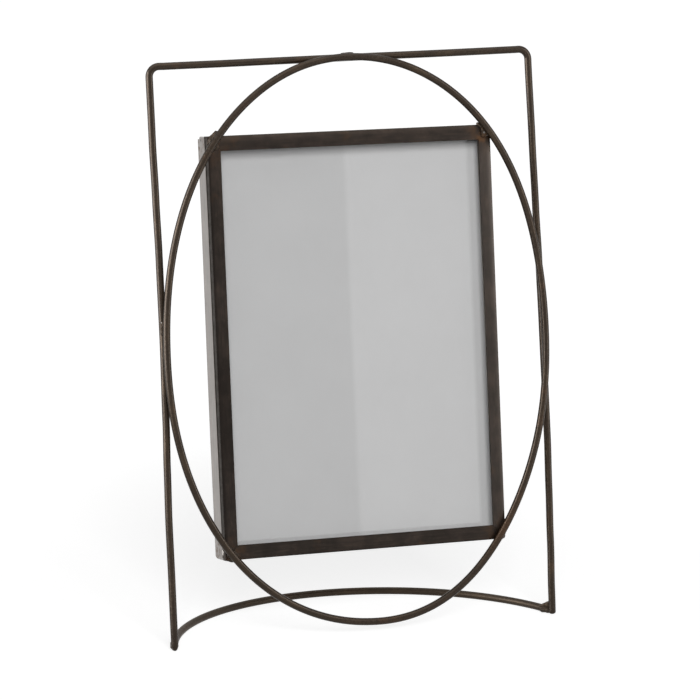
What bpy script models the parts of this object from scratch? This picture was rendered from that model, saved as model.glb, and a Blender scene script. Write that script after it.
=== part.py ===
"""Leaning wire photo frame for a 13 x 18 cm print.

A bent outer wire and a foot wire stand the frame up, an oval wire is welded to
the front of the outer wire, and the corners of a shallow picture box are welded
behind the oval. The box has a mitred face frame and, behind it, a bent channel
that is open at the top, so the glass, the card and the back panel slide out.

Lengths are metres. X is to the right, Y is towards the back, Z is up. Pieces of
the leaning plane are placed in its own axes: across, rearward, up the lean.
Pieces of the picture box use across, up the lean, forward.
"""

import math

import bmesh
import bpy
from mathutils import Matrix, Vector

MM = 0.001

# Clearances between separate pieces
GAP = 0.3 * MM
PANE_CLEARANCE = 0.5 * MM
PANE_SIDE_CLEARANCE = 0.7 * MM

# The three loose sheets that slide into the picture box
PANE_WIDTH = 131.0 * MM
PANE_HEIGHT = 185.0 * MM
GLASS_THICKNESS = 2.0 * MM
CARD_THICKNESS = 0.4 * MM
BACK_THICKNESS = 3.2 * MM

# The picture box
CHANNEL_SHEET = 1.0 * MM
CHANNEL_FLANGE = 3.9 * MM
CHANNEL_BEND = 2.0 * MM
CHANNEL_TOP_DROP = 1.0 * MM
PANE_TOP_DROP = 1.2 * MM
GROOVE = 1.9 * MM
FACE_SHEET = 1.0 * MM
FACE_RETURN = 3.4 * MM
RAIL_WIDTH = 6.65 * MM
STILE_WIDTH = 5.8 * MM

# The wires
WIRE = 3.2 * MM
OVAL_SIDE_ROOM = 23.2 * MM
CORNER_CROSSING = 2.5 * MM
OVAL_OVERHANG = 0.45 * MM
OVAL_RISE = 0.4 * MM
OVAL_FULLNESS = 2.11
OVAL_FLOOR_HEIGHT = 5.35 * MM
OVAL_SHIFT = 1.5 * MM
BOX_SHIFT = 0.5 * MM
BOX_DROP = 0.45 * MM
LEG_SPREAD = 0.9 * MM
CORNER_BEND = 4.5 * MM
FOOT_DEPTH = 68.4 * MM
FOOT_END_INSET = 1.0 * MM
LEAN = math.radians(7.0)

# The weld beads
BEAD_RADIUS = 1.2 * MM
BEAD_LENGTH = 8.5 * MM
BEAD_PROUD = 0.9 * MM
LEFT_BEAD_RISE = 11.3 * MM
CORNER_BEAD_RADIUS = 2.6 * MM
CORNER_BEAD_INSET = 0.9 * MM
CORNER_BEAD_REACH = 4.9 * MM
FOOT_BEAD_RADIUS = 2.1 * MM

# Numbers of straight pieces in the round shapes
OVAL_STEPS = 96
FOOT_STEPS = 40
BEND_STEPS = 6
BEAD_STEPS = 16
WIRE_SIDES = 8

# The channel's depth follows from what it holds, the box's size from the panes
CHANNEL_DEPTH = (2 * CHANNEL_SHEET + GLASS_THICKNESS + CARD_THICKNESS
                 + BACK_THICKNESS + 4 * PANE_CLEARANCE)
BOX_HALF_WIDTH = PANE_WIDTH / 2 + PANE_SIDE_CLEARANCE + CHANNEL_SHEET
BOX_HALF_HEIGHT = (PANE_HEIGHT + CHANNEL_SHEET + GAP + PANE_TOP_DROP) / 2

# The oval is an ellipse of a slightly higher power than 2, with fuller shoulders.
# It passes in front of the box's corners, the crossing distance in from both edges
OVAL_HALF_WIDTH = BOX_HALF_WIDTH + OVAL_SIDE_ROOM
OVAL_CROSSING = ((BOX_HALF_WIDTH - CORNER_CROSSING) / OVAL_HALF_WIDTH) ** OVAL_FULLNESS
OVAL_HALF_HEIGHT = (BOX_HALF_HEIGHT - CORNER_CROSSING) / (1 - OVAL_CROSSING) ** (1 / OVAL_FULLNESS)
OVAL_CENTRE = OVAL_FLOOR_HEIGHT + OVAL_HALF_HEIGHT
BOX_CENTRE = OVAL_CENTRE - BOX_DROP
PICTURE_SHIFT = OVAL_SHIFT + BOX_SHIFT

# The outer wire just meets the oval at the top and at both sides
TOP_BAR_HEIGHT = OVAL_CENTRE + OVAL_HALF_HEIGHT - OVAL_RISE
LEG_TOP_X = OVAL_HALF_WIDTH - OVAL_OVERHANG
LEG_FOOT_X = LEG_TOP_X + LEG_SPREAD

# Distances forward of the outer wire's middle
OVAL_FORWARD = WIRE + GAP
FACE_FRONT = OVAL_FORWARD - WIRE / 2 - GAP
CHANNEL_FRONT = FACE_FRONT - FACE_RETURN - GROOVE
CHANNEL_BACK = CHANNEL_FRONT - CHANNEL_DEPTH
GLASS_FRONT = CHANNEL_FRONT - CHANNEL_SHEET - PANE_CLEARANCE
CARD_FRONT = GLASS_FRONT - GLASS_THICKNESS - PANE_CLEARANCE
BACK_FRONT = CARD_FRONT - CARD_THICKNESS - PANE_CLEARANCE

# A wire of eight sides that stands on a flat side has its middle this high
WIRE_FLAT_RADIUS = WIRE / 2 * math.cos(math.pi / WIRE_SIDES)

# How far a cutter runs past what it cuts
PAST = 5.0 * MM


def clear_scene():
    for item in list(bpy.data.objects):
        bpy.data.objects.remove(item, do_unlink=True)


def new_collection(name):
    collection = bpy.data.collections.new(name)
    bpy.context.scene.collection.children.link(collection)
    return collection


def new_empty(name, parent=None, location=(0, 0, 0), turn_x=0.0):
    empty = bpy.data.objects.new(name, None)
    empty.location = location
    empty.rotation_euler.x = turn_x
    empty.parent = parent
    PARTS.objects.link(empty)
    return empty


def new_material(name, colour, roughness, metallic, alpha=1.0):
    material = bpy.data.materials.new(name)
    material.use_nodes = True
    shader = material.node_tree.nodes["Principled BSDF"]
    shader.inputs["Base Color"].default_value = (*colour, 1.0)
    shader.inputs["Roughness"].default_value = roughness
    shader.inputs["Metallic"].default_value = metallic
    shader.inputs["Alpha"].default_value = alpha
    return material


def new_object(name, data, parent, material=None):
    """Link a part, or a cutter where no material is given."""
    item = bpy.data.objects.new(name, data)
    item.parent = parent
    if material is None:
        CUTTERS.objects.link(item)
        item.hide_render = True
        item.display_type = "WIRE"
    else:
        PARTS.objects.link(item)
        item.data.materials.append(material)
    return item


def wire(name, points, diameter, parent, material=None, closed=False, tilt=0.0):
    """A round wire along points, as a curve with a bevel and filled ends."""
    curve = bpy.data.curves.new(name, "CURVE")
    curve.dimensions = "3D"
    curve.bevel_depth = diameter / 2
    curve.bevel_resolution = 2
    curve.use_fill_caps = True
    spline = curve.splines.new("POLY")
    spline.points.add(len(points) - 1)
    for point, place in zip(spline.points, points):
        point.co = (*place, 1.0)
        point.tilt = tilt
    spline.use_cyclic_u = closed
    return new_object(name, curve, parent, material)


def outline_solid(name, outline, front, back, parent, material=None):
    """A flat outline in the box's plane, made solid between two forward distances."""
    curve = bpy.data.curves.new(name, "CURVE")
    curve.dimensions = "2D"
    curve.fill_mode = "BOTH"
    curve.extrude = (front - back) / 2
    spline = curve.splines.new("POLY")
    spline.points.add(len(outline) - 1)
    for point, place in zip(spline.points, outline):
        point.co = (place[0], place[1], 0, 1.0)
    spline.use_cyclic_u = True
    item = new_object(name, curve, parent, material)
    item.location.z = (front + back) / 2
    return as_mesh(item)


def as_mesh(curve_object):
    """Turn a curve object into a closed mesh object of the same name and place."""
    depsgraph = bpy.context.evaluated_depsgraph_get()
    mesh = bpy.data.meshes.new_from_object(curve_object.evaluated_get(depsgraph))
    work = bmesh.new()
    work.from_mesh(mesh)
    bmesh.ops.remove_doubles(work, verts=work.verts, dist=MM / 1000)
    bmesh.ops.recalc_face_normals(work, faces=work.faces)
    work.to_mesh(mesh)
    work.free()
    name = curve_object.name
    item = bpy.data.objects.new(name + "_mesh", mesh)
    for collection in curve_object.users_collection:
        collection.objects.link(item)
    item.parent = curve_object.parent
    item.location = curve_object.location
    item.hide_render = curve_object.hide_render
    item.display_type = curve_object.display_type
    bpy.data.objects.remove(curve_object, do_unlink=True)
    item.name = name
    return item


def block(name, low, high, parent, material=None):
    """A box between two corners, in its parent's axes."""
    mesh = bpy.data.meshes.new(name)
    work = bmesh.new()
    bmesh.ops.create_cube(work, size=1.0)
    size = [h - l for l, h in zip(low, high)]
    bmesh.ops.scale(work, vec=size, verts=work.verts)
    work.to_mesh(mesh)
    work.free()
    item = new_object(name, mesh, parent, material)
    item.location = [(l + h) / 2 for l, h in zip(low, high)]
    return item


def bead(name, centre, axes, radii, parent, material):
    """An ellipsoid with the given axes and radii, shaded smooth."""
    mesh = bpy.data.meshes.new(name)
    work = bmesh.new()
    bmesh.ops.create_uvsphere(work, u_segments=BEAD_STEPS, v_segments=BEAD_STEPS // 2, radius=1.0)
    turn = Matrix([axis * radius for axis, radius in zip(axes, radii)]).transposed()
    bmesh.ops.transform(work, matrix=turn.to_4x4(), verts=work.verts)
    bmesh.ops.recalc_face_normals(work, faces=work.faces)
    work.to_mesh(mesh)
    work.free()
    mesh.shade_smooth()
    item = new_object(name, mesh, parent, material)
    item.location = centre
    return item


def cut(item, cutter, operation="DIFFERENCE"):
    modifier = item.modifiers.new(cutter.name, "BOOLEAN")
    modifier.operation = operation
    modifier.solver = "EXACT"
    modifier.object = cutter


def arc_points(centre, radius, start, end, steps):
    """Points on an arc, from the start angle to the end angle."""
    angles = [start + (end - start) * step / steps for step in range(steps + 1)]
    return [(centre[0] + radius * math.cos(a), centre[1] + radius * math.sin(a)) for a in angles]


def leg_x(height):
    """Sideways place of a leg's middle at a height up the lean."""
    return LEG_FOOT_X + (LEG_TOP_X - LEG_FOOT_X) * height / TOP_BAR_HEIGHT


def outer_wire_points():
    """Up the left leg, round both top bends and down the right leg, past the floor."""
    bend_height = TOP_BAR_HEIGHT - CORNER_BEND
    bend_x = leg_x(bend_height) - CORNER_BEND
    right = arc_points((bend_x, bend_height), CORNER_BEND, math.pi / 2, 0, BEND_STEPS)
    left = [(-x, z) for x, z in reversed(right)]
    foot = (leg_x(-PAST), -PAST)
    path = [(-foot[0], foot[1])] + left + right + [foot]
    return [(x, 0, z) for x, z in path]


def oval_x(rise):
    """Sideways reach of the oval's middle at a height above its centre."""
    share = 1 - (rise / OVAL_HALF_HEIGHT) ** OVAL_FULLNESS
    return OVAL_HALF_WIDTH * share ** (1 / OVAL_FULLNESS)


def oval_points():
    def full(value):
        return math.copysign(abs(value) ** (2 / OVAL_FULLNESS), value)

    angles = [2 * math.pi * step / OVAL_STEPS for step in range(OVAL_STEPS)]
    return [(OVAL_SHIFT + OVAL_HALF_WIDTH * full(math.cos(a)), -OVAL_FORWARD,
             OVAL_CENTRE + OVAL_HALF_HEIGHT * full(math.sin(a))) for a in angles]


def foot_end():
    """Middle of the foot wire's right end, just behind the leg, seen from above."""
    lean_back = WIRE_FLAT_RADIUS * math.tan(LEAN)
    end_x = LEG_FOOT_X - FOOT_END_INSET
    tilt_room = WIRE / 2 * FOOT_END_INSET / WIRE
    return end_x, WIRE / 2 + GAP + lean_back + tilt_room


def foot_points():
    """An arc on the floor from leg to leg, bowed to the rear."""
    end_x, end_y = foot_end()
    bow = FOOT_DEPTH - end_y
    radius = (end_x ** 2 + bow ** 2) / (2 * bow)
    half_turn = math.atan2(end_x, radius - bow)
    centre = (0, FOOT_DEPTH - radius)
    middle = math.pi / 2
    arc = arc_points(centre, radius, middle + half_turn, middle - half_turn, FOOT_STEPS)
    return [(x, y, WIRE_FLAT_RADIUS) for x, y in arc]


def channel_outline(inset, top):
    """The channel's U seen from the front, drawn in by inset, with its own top edge."""
    half_width = BOX_HALF_WIDTH - inset
    bottom = inset - BOX_HALF_HEIGHT
    radius = max(CHANNEL_BEND - inset, MM / 10)
    right = arc_points((half_width - radius, bottom + radius), radius,
                       -math.pi / 2, 0, BEND_STEPS)
    left = [(-x, z) for x, z in reversed(right)]
    return left + right + [(half_width, top), (-half_width, top)]


def mitre_outline(side_x, side_z):
    """Outline that keeps one side of the face frame, up to half a gap from its mitres."""
    diagonal = math.hypot(STILE_WIDTH, RAIL_WIDTH)

    def mitre(x_sign, z_sign, inward):
        x = BOX_HALF_WIDTH - STILE_WIDTH * inward
        z = BOX_HALF_HEIGHT - RAIL_WIDTH * inward
        if side_x:
            z -= GAP / 2 * diagonal / STILE_WIDTH
        else:
            x -= GAP / 2 * diagonal / RAIL_WIDTH
        return x_sign * x, z_sign * z

    ends = [(side_x, 1), (side_x, -1)] if side_x else [(1, side_z), (-1, side_z)]
    first, second = ends
    return [mitre(*first, -0.2), mitre(*first, 1.2), mitre(*second, 1.2), mitre(*second, -0.2)]


def make_face_frame(box, material):
    """Four mitred lengths of thin angle, each with its face and its side return."""
    half_width, half_height = BOX_HALF_WIDTH, BOX_HALF_HEIGHT
    back = FACE_FRONT - FACE_RETURN
    hollow = block("face_hollow", (FACE_SHEET - half_width, FACE_SHEET - half_height, back - PAST),
                   (half_width - FACE_SHEET, half_height - FACE_SHEET, FACE_FRONT - FACE_SHEET), box)
    window = block("face_window", (STILE_WIDTH - half_width, RAIL_WIDTH - half_height, back - PAST),
                   (half_width - STILE_WIDTH, half_height - RAIL_WIDTH, FACE_FRONT + PAST), box)
    sides = {"face_left_stile": (-1, 0), "face_right_stile": (1, 0),
             "face_bottom_rail": (0, -1), "face_top_rail": (0, 1)}
    for name, (side_x, side_z) in sides.items():
        piece = block(name, (-half_width, -half_height, back),
                      (half_width, half_height, FACE_FRONT), box, material)
        side = outline_solid(name + "_mitres", mitre_outline(side_x, side_z),
                             FACE_FRONT + PAST, back - PAST, box)
        cut(piece, hollow)
        cut(piece, window)
        cut(piece, side, "INTERSECT")


def make_channel(box, material):
    """One strip bent round the sides and bottom, with a flange at its front and back."""
    top = BOX_HALF_HEIGHT - CHANNEL_TOP_DROP
    channel = outline_solid("rear_channel", channel_outline(0, top),
                            CHANNEL_FRONT, CHANNEL_BACK, box, material)
    channel.data.materials.clear()
    channel.data.materials.append(material)
    hollow = outline_solid("channel_hollow", channel_outline(CHANNEL_SHEET, top + PAST),
                           CHANNEL_FRONT - CHANNEL_SHEET, CHANNEL_BACK + CHANNEL_SHEET, box)
    window = outline_solid("channel_window", channel_outline(CHANNEL_FLANGE, top + PAST),
                           CHANNEL_FRONT + PAST, CHANNEL_BACK - PAST, box)
    cut(channel, hollow)
    cut(channel, window)


def make_pane(name, front, thickness, box, material):
    """A sheet that stands on the channel's bottom and slides up out of it."""
    bottom = CHANNEL_SHEET + GAP - BOX_HALF_HEIGHT
    return block(name, (-PANE_WIDTH / 2, bottom, front - thickness),
                 (PANE_WIDTH / 2, bottom + PANE_HEIGHT, front), box, material)


def make_corner_beads(box, wires, material):
    """A bead at each corner of the box, that reaches forward to the oval's outer side."""
    middle = FACE_FRONT - (FACE_RETURN + GROOVE) / 2
    box_space = block("box_space", (-BOX_HALF_WIDTH - GAP, -BOX_HALF_HEIGHT - GAP, CHANNEL_BACK - PAST),
                      (BOX_HALF_WIDTH + GAP, BOX_HALF_HEIGHT + GAP, FACE_FRONT + GAP), box)
    inside = outline_solid("inside_oval", [(x - PICTURE_SHIFT, z - BOX_CENTRE) for x, y, z in oval_points()],
                           FACE_FRONT + PAST, FACE_FRONT, box)
    axes = Matrix.Identity(3)
    corners = {"bottom_left": (-1, -1), "bottom_right": (1, -1),
               "top_left": (-1, 1), "top_right": (1, 1)}
    for corner, (x_sign, z_sign) in corners.items():
        centre = (x_sign * (BOX_HALF_WIDTH - CORNER_BEAD_INSET),
                  z_sign * (BOX_HALF_HEIGHT - CORNER_BEAD_INSET), middle)
        radii = (CORNER_BEAD_RADIUS, CORNER_BEAD_RADIUS, CORNER_BEAD_REACH)
        item = bead("corner_weld_" + corner, centre, axes, radii, box, material)
        cut(item, box_space)
        cut(item, inside)
        cut(item, wires["oval"])


def make_groove_bead(name, first, second, along, side, lean, wires, material):
    """A bead in the groove between two wires that lie side by side."""
    across = (second - first).normalized()
    out = along.cross(across).normalized() * side
    spacing = (second - first).length
    reach = BEAD_RADIUS + BEAD_PROUD
    centre = (first + second) / 2 + out * (WIRE / 2 + BEAD_PROUD - BEAD_RADIUS)
    radii = (BEAD_RADIUS, max(reach, spacing / 2), BEAD_LENGTH / 2)
    item = bead(name, centre, (out, across, along), radii, lean, material)
    cut(item, wires["outer"])
    cut(item, wires["oval"])


def make_oval_beads(lean, wires, material):
    """Beads where the oval meets the top bar and both legs."""
    up, across = Vector((0, 0, 1)), Vector((1, 0, 0))
    for name, sign, rise in (("oval_weld_left", -1, LEFT_BEAD_RISE), ("oval_weld_right", 1, 0.0)):
        height = OVAL_CENTRE + rise
        leg = Vector((sign * leg_x(height), 0, height))
        oval = Vector((OVAL_SHIFT + sign * oval_x(rise), -OVAL_FORWARD, height))
        make_groove_bead(name, leg, oval, up, sign, lean, wires, material)
    bar = Vector((OVAL_SHIFT, 0, TOP_BAR_HEIGHT))
    oval = Vector((OVAL_SHIFT, -OVAL_FORWARD, OVAL_CENTRE + OVAL_HALF_HEIGHT))
    make_groove_bead("oval_weld_top", bar, oval, across, -1, lean, wires, material)


def make_foot_beads(stand, wires, material):
    """Beads on top of the foot wire's ends, against the inner rear of the legs."""
    end_x, end_y = foot_end()
    axes = Matrix.Identity(3)
    radii = (FOOT_BEAD_RADIUS, FOOT_BEAD_RADIUS, FOOT_BEAD_RADIUS)
    for name, sign in (("foot_weld_left", -1), ("foot_weld_right", 1)):
        centre = (sign * (end_x - FOOT_END_INSET / 2), end_y, WIRE + GAP)
        item = bead(name, centre, axes, radii, stand, material)
        cut(item, wires["outer"])
        cut(item, wires["foot"])


def stand_on_origin(stand):
    """Put the middle of the parts' own box over the origin, with their lowest point at zero."""
    bpy.context.view_layer.update()
    depsgraph = bpy.context.evaluated_depsgraph_get()
    places = []
    for item in PARTS.objects:
        if item.type != "EMPTY":
            shape = item.evaluated_get(depsgraph)
            mesh = shape.to_mesh()
            places.extend(item.matrix_world @ vertex.co for vertex in mesh.vertices)
            shape.to_mesh_clear()
    low = [min(place[axis] for place in places) for axis in range(3)]
    high = [max(place[axis] for place in places) for axis in range(3)]
    stand.location = (-(low[0] + high[0]) / 2, -(low[1] + high[1]) / 2, -low[2])
    bpy.context.view_layer.update()


def main():
    iron = new_material("dark_iron", (0.045, 0.036, 0.030), 0.38, 0.85)
    steel = new_material("bare_steel", (0.42, 0.40, 0.385), 0.40, 1.0)
    weld = new_material("weld_iron", (0.055, 0.038, 0.027), 0.55, 0.80)
    glass = new_material("clear_glass", (0.95, 0.97, 0.96), 0.02, 0.0, alpha=0.2)
    card = new_material("grey_card", (0.46, 0.46, 0.46), 0.80, 0.0)
    board = new_material("black_hardboard", (0.035, 0.032, 0.030), 0.70, 0.0)

    stand = new_empty("stand")
    lean = new_empty("leaning_plane", stand, turn_x=-LEAN)
    box = new_empty("picture_box", lean, (PICTURE_SHIFT, 0, BOX_CENTRE), math.pi / 2)

    flat_down = math.pi / WIRE_SIDES
    fat_wire = WIRE + 2 * GAP
    wires = {
        "outer": as_mesh(wire("outer_wire_room", outer_wire_points(), fat_wire, lean)),
        "oval": as_mesh(wire("oval_wire_room", oval_points(), fat_wire, lean, closed=True)),
        "foot": as_mesh(wire("foot_wire_room", foot_points(), fat_wire, stand, tilt=flat_down)),
    }

    outer = as_mesh(wire("outer_wire", outer_wire_points(), WIRE, lean, iron))
    floor_space = block("floor_space", (-2 * LEG_FOOT_X, -2 * LEG_FOOT_X, -2 * PAST),
                        (2 * LEG_FOOT_X, 2 * LEG_FOOT_X, 0), stand)
    cut(outer, floor_space)
    wire("oval_wire", oval_points(), WIRE, lean, iron, closed=True)
    wire("foot_wire", foot_points(), WIRE, stand, iron, tilt=flat_down)

    make_face_frame(box, iron)
    make_channel(box, steel)
    make_pane("glass_pane", GLASS_FRONT, GLASS_THICKNESS, box, glass)
    make_pane("photo_card", CARD_FRONT, CARD_THICKNESS, box, card)
    make_pane("back_panel", BACK_FRONT, BACK_THICKNESS, box, board)

    make_corner_beads(box, wires, weld)
    make_oval_beads(lean, wires, weld)
    make_foot_beads(stand, wires, weld)
    stand_on_origin(stand)


clear_scene()
PARTS = new_collection("wire_photo_frame")
CUTTERS = new_collection("cutters")
main()
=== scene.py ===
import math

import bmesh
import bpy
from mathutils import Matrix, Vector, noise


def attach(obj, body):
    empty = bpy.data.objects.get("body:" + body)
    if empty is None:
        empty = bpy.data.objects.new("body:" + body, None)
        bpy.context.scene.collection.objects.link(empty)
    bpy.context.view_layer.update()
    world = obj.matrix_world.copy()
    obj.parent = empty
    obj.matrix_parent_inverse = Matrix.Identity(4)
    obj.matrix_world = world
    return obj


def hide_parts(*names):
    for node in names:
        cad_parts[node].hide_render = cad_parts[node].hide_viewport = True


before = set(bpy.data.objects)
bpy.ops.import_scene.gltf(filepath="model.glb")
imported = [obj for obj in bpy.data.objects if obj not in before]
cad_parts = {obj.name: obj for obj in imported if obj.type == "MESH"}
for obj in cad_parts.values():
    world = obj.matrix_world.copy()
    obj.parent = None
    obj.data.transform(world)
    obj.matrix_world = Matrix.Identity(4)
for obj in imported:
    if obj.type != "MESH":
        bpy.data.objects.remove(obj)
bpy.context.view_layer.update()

# Looks for the leaning wire photo frame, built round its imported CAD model.
#
# Lengths are millimetres up to place(), which gives metres. Pieces are laid out in the
# leaning plane's own axes: u across to the right, v up the lean, n forward. The picture
# box's sheet pieces use w, the distance in from the box's outer edge, and n.

MM = 0.001
LEAN = math.radians(7.0)
PLANE_X, PLANE_Y = -0.628, -32.734      # where the leaning plane's own origin stands

# The wires
WIRE_RADIUS = 1.64
WIRE_SIDES = 24
WIRE_STEP = 2.0
TOP_BAR_V = 256.931
LEG_TOP_U, LEG_FOOT_U = 89.95, 90.85
CORNER_BEND = 4.5
OVAL_U, OVAL_V, OVAL_N = 1.5, 131.340, 3.38
OVAL_A, OVAL_B, OVAL_POWER = 90.4, 125.990, 2.11
OVAL_SAMPLES = 4000
FOOT_END_X, FOOT_END_Y, FOOT_BACK_Y = 89.85, 2.58, 68.22
# How the hand-bent wires stray from their drawn lines. A leg's bends are (height, bend to
# the right); the oval's are (waves round it, cosine part, sine part), measured outwards.
LEFT_LEG_BENDS = [(0, 0.25), (30, 0.22), (56, 0.10), (80, 0.36), (102, 0.76), (136, 1.10),
                  (172, 0.93), (200, 0.53), (226, 0.14), (252, 0.0)]
RIGHT_LEG_BENDS = [(0, 0.0), (10, 0.12), (34, 0.66), (58, 1.02), (82, 1.34), (106, 1.36),
                   (134, 1.28), (160, 1.08), (186, 0.60), (214, 0.32), (250, 0.0)]
OVAL_BENDS = [(1, 0.31, -0.14), (2, -0.03, 0.0), (3, -0.56, 0.12), (4, -0.02, 0.36),
              (5, 0.15, -0.07), (6, -0.07, -0.19), (7, 0.0, -0.13)]
LEG_SWAY, BAR_SWAY, SWAY_LENGTH = 0.08, 0.10, 38.0      # small wander, and over what length
SWAY_FADE = 12.0                        # it dies out over this length before a bend or end
BAR_SAG = 0.05
LEFT_TIP, RIGHT_TIP, FOOT_TIP = 3.4, 1.3, 2.7   # lengths of the wire ends' roundings
TIP_POWER, TIP_RADIUS = 2.4, 0.12       # how blunt a wire end is, and its least radius
# Where a wire has its closer sections: distances from its end
END_STEPS = [0.02, 0.06, 0.15, 0.3, 0.5, 0.8, 1.15, 1.6, 2.1, 2.7, 3.4, 4.4]

# The picture box
BOX_U, BOX_V, BOX_HALF_W, BOX_HALF_H = 2.0, 130.890, 67.2, 93.75
SOFT_EDGE = 0.10                        # width of the sheet edges' bevels
RIPPLE = 0.05                           # how far bent sheet is from flat
FACE_N, FACE_SHEET, FACE_RETURN, FACE_FOLD = 1.6, 1.0, 3.4, 0.30
FACE_TURN, FACE_SHEAR = 0.0098, 0.0035  # the face frame sits a little askew in its plane
RAIL_W, STILE_W = 6.65, 5.8
MITRE_STEPS = [0.965, 0.975, 0.983, 0.989, 0.994, 0.998]    # extra sections near the mitres
HAIRLINE = 0.07                         # each mitre is cut this much short
GROUND_CORNER = 2.0                     # radius of the face frame's lower right corner
EDGE_WEAR = 0.2                         # the right stile and bottom rail are this much narrower
FACE_CAMBER = 0.14                      # the face falls back by this to its outer edge
CHANNEL_FRONT, CHANNEL_BACK, CHANNEL_SHEET = -3.7, -13.3, 1.0
CHANNEL_FLANGE, CHANNEL_FOLD, CHANNEL_BEND, CHANNEL_TOP_DROP = 3.9, 0.35, 2.0, 1.0
SIDE_PINCH, REAR_PINCH = 0.42, 0.30     # the channel's left side is pressed in towards its top
LEFT_TOP_RISE = 1.6                     # and its end stands this much higher than the right
NICK_DEPTH, NICK_N = 1.25, -10.0        # with a nick behind this n
PANE_W, PANE_H, PANE_BOTTOM = 131.0, 185.0, 1.3
GLASS_N, GLASS_T = -5.2, 2.0
CARD_N, CARD_T = -7.7, 0.4
BOARD_N, BOARD_T = -8.6, 3.2


def place(u, v, n):
    """A place of the leaning plane in the frame's axes, in metres."""
    return Vector((u + PLANE_X,
                   v * math.sin(LEAN) - n * math.cos(LEAN) + PLANE_Y,
                   v * math.cos(LEAN) + n * math.sin(LEAN))) * MM


def floor_place(x, y, z):
    """A place in the frame's own axes, in metres, for the welds at the foot."""
    return Vector((x, y, z)) * MM


FORWARD = (place(0, 0, 1) - place(0, 0, 0)).normalized()
BOX_CENTRE = place(BOX_U, BOX_V, -5.0)
BOX_CORNER = (65.5 * MM, 0.0, 91.2 * MM)        # how far its corners are, on the frame's axes


def mix(a, b, share):
    return a + (b - a) * share


def spread(start, end, step):
    """Numbers from start to end, about a step apart."""
    count = max(1, round(abs(end - start) / step))
    return [mix(start, end, i / count) for i in range(count + 1)]


# ---------------------------------------------------------------- meshes

def add_object(name, mesh, material):
    mesh.materials.append(material)
    piece = bpy.data.objects.new(name, mesh)
    bpy.context.scene.collection.objects.link(piece)
    return piece


def settle(piece, body, slot, *nodes):
    """The piece stands for CAD nodes and rides on a body. slot is not used."""
    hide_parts(*nodes)
    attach(piece, body)
    return piece


def turn_outwards(mesh):
    """Make the faces' normals agree, pointing out, and shade the mesh smooth."""
    work = bmesh.new()
    work.from_mesh(mesh)
    bmesh.ops.recalc_face_normals(work, faces=work.faces)
    work.to_mesh(mesh)
    work.free()
    mesh.shade_smooth()


def soften(piece):
    """Round the sharp edges, as a modifier."""
    bevel = piece.modifiers.new("soft_edges", "BEVEL")
    bevel.width = SOFT_EDGE * MM
    bevel.segments = 2
    bevel.limit_method = "ANGLE"
    bevel.angle_limit = math.radians(40)
    bevel.harden_normals = False


def tube(name, path, radii, flat, material, closed=False):
    """A round wire on a path that lies in one plane, which is square to flat.

    Its corners carry wire_place: metres along the wire and round its section.
    """
    count = len(path)
    turns = [2 * math.pi * k / WIRE_SIDES for k in range(WIRE_SIDES + 1)]
    verts = []
    for i, point in enumerate(path):
        before = path[i - 1] if closed or i else point
        after = path[(i + 1) % count] if closed or i < count - 1 else point
        across = (after - before).normalized().cross(flat).normalized()
        for turn in turns[:-1]:
            out = flat * math.cos(turn) + across * math.sin(turn)
            verts.append(point + out * radii[i] * MM)
    lengths = [0.0]
    for i in range(1, count + 1):
        lengths.append(lengths[-1] + (path[i % count] - path[i - 1]).length)

    def corner(i, k):
        r = WIRE_RADIUS * MM
        return (lengths[i], r * math.cos(turns[k]), r * math.sin(turns[k]))

    faces, places = [], []
    for i in range(count if closed else count - 1):
        j = (i + 1) % count
        for k in range(WIRE_SIDES):
            m = (k + 1) % WIRE_SIDES
            faces.append((i * WIRE_SIDES + k, i * WIRE_SIDES + m,
                          j * WIRE_SIDES + m, j * WIRE_SIDES + k))
            places.append((corner(i, k), corner(i, k + 1),
                           corner(i + 1, k + 1), corner(i + 1, k)))
    if not closed:
        for i in (0, count - 1):
            faces.append(tuple(i * WIRE_SIDES + k for k in range(WIRE_SIDES)))
            places.append(tuple(corner(i, k) for k in range(WIRE_SIDES)))
    mesh = bpy.data.meshes.new(name)
    mesh.from_pydata([tuple(v) for v in verts], [], faces)
    kept = mesh.attributes.new("wire_place", "FLOAT_VECTOR", "CORNER")
    for polygon, where in zip(mesh.polygons, places):
        for loop, value in zip(polygon.loop_indices, where):
            kept.data[loop].vector = value
    turn_outwards(mesh)
    return add_object(name, mesh, material)


def bullet(along, length):
    """Radius of a rounded wire end at a distance from its tip."""
    if along >= length:
        return WIRE_RADIUS
    left = 1 - along / length
    return max(TIP_RADIUS, WIRE_RADIUS * math.sqrt(max(0.0, 1 - left ** TIP_POWER)))


def sway(along, size, seed):
    """Small sideways wander of a hand-bent wire."""
    return size * noise.noise(Vector((along / SWAY_LENGTH, seed, 0.5)))


def leg_u(v):
    return mix(LEG_FOOT_U, LEG_TOP_U, v / TOP_BAR_V)


def bend_at(bends, where):
    """A smooth curve through (place, bend) pairs."""
    for (a, low), (b, high) in zip(bends, bends[1:]):
        if where <= b:
            share = max(0.0, (where - a) / (b - a))
            return mix(low, high, share * share * (3 - 2 * share))
    return bends[-1][1]


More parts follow.
